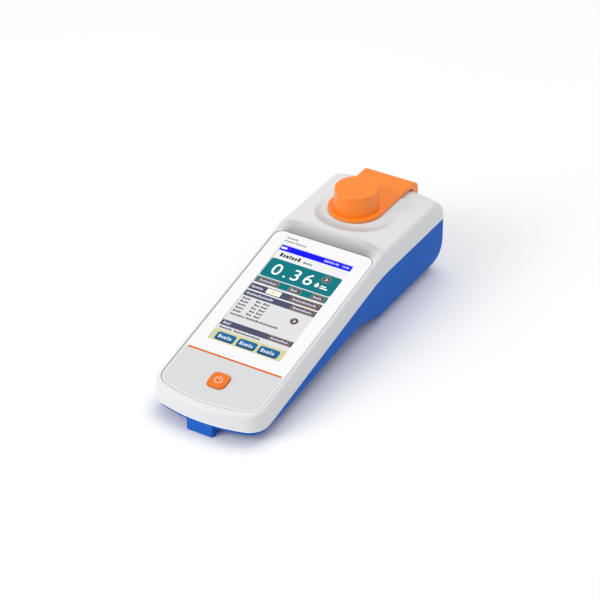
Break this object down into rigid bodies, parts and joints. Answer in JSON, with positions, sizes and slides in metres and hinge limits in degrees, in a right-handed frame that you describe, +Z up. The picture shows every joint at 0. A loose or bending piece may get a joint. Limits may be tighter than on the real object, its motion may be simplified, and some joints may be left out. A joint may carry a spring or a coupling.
{
  "type": "portable turbidimeter",
  "caption": "Handheld water turbidity meter with a sloping touch screen, a power button, and a hinged cap over a deep vial well in its raised rear head.",
  "frame": {"origin": "middle of the instrument's footprint, on the surface that its rubber feet stand on", "axes": "+X to the right seen from the front, +Y from the front lip to the hinge, +Z up"},
  "size_m": [0.0808, 0.251, 0.079],
  "materials": {
    "housing_grey": "fine satin moulding",
    "housing_blue": "fine satin moulding",
    "lid_orange": "smooth moulding",
    "button_orange": "smooth moulding",
    "panel_film": "printed film",
    "cover_glass": "polished",
    "display_metal": "stamped sheet",
    "bracket_steel": "stamped sheet",
    "chamber_black": "light-absorbing moulding",
    "lens_glass": "polished",
    "can_metal": "drawn can",
    "lamp_clear": "clear",
    "board_green": "solder resist",
    "chip_black": "moulded packages",
    "screw_steel": "plated",
    "pin_steel": "ground",
    "contact_metal": "plated spring strip",
    "cell_jacket": "plain wrapped cell",
    "soft_black": "moulded rubber",
    "soft_pale": "silicone",
    "flex_amber": "polyimide film"
  },
  "bodies": {
    "instrument": {"top_housing": "housing_grey", "bottom_housing": "housing_blue", "battery_cover": "housing_blue", "front_panel": "panel_film", "touch_screen": "cover_glass", "display_module": "display_metal", "display_bracket": "bracket_steel", "display_screws": "screw_steel", "display_flex": "flex_amber", "power_switch": "chip_black", "main_board": "board_green", "board_chips": "chip_black", "board_screws": "screw_steel", "buzzer": "chip_black", "sample_chamber": "chamber_black", "chamber_screws": "screw_steel", "well_collar": "chamber_black", "source_lens": "lens_glass", "scatter_lens": "lens_glass", "transmitted_lens": "lens_glass", "lens_retainers": "chamber_black", "source_lamp": "lamp_clear", "scatter_detector": "can_metal", "transmitted_detector": "can_metal", "source_board": "board_green", "scatter_board": "board_green", "transmitted_board": "board_green", "optic_screws": "screw_steel", "optics_flex": "flex_amber", "sensor_flex": "flex_amber", "hinge_pin": "pin_steel", "battery_cells": "cell_jacket", "battery_contacts": "contact_metal", "cover_screw": "screw_steel", "housing_screws": "screw_steel", "housing_gasket": "soft_pale", "rubber_feet": "soft_black", "front_foot_pad": "soft_black", "data_socket": "can_metal", "socket_board": "board_green", "socket_screws": "screw_steel"},
    "lid": {"lid": "lid_orange", "lid_seal": "soft_black"},
    "button": {"power_button": "button_orange"}
  },
  "joints": [
    {"name": "lid_hinge", "type": "hinge", "parent": "instrument", "child": "lid", "pos_m": [0, 0.1213, 0.053], "axis": [-1, 0, 0], "range_deg": [0, 105]},
    {"name": "power_button_press", "type": "slide", "parent": "instrument", "child": "button", "axis": [0, 0.2123, -0.9772], "range_m": [0, 0.0008], "stiffness_N_per_m": 1200, "springref_m": -0.0002}
  ]
}
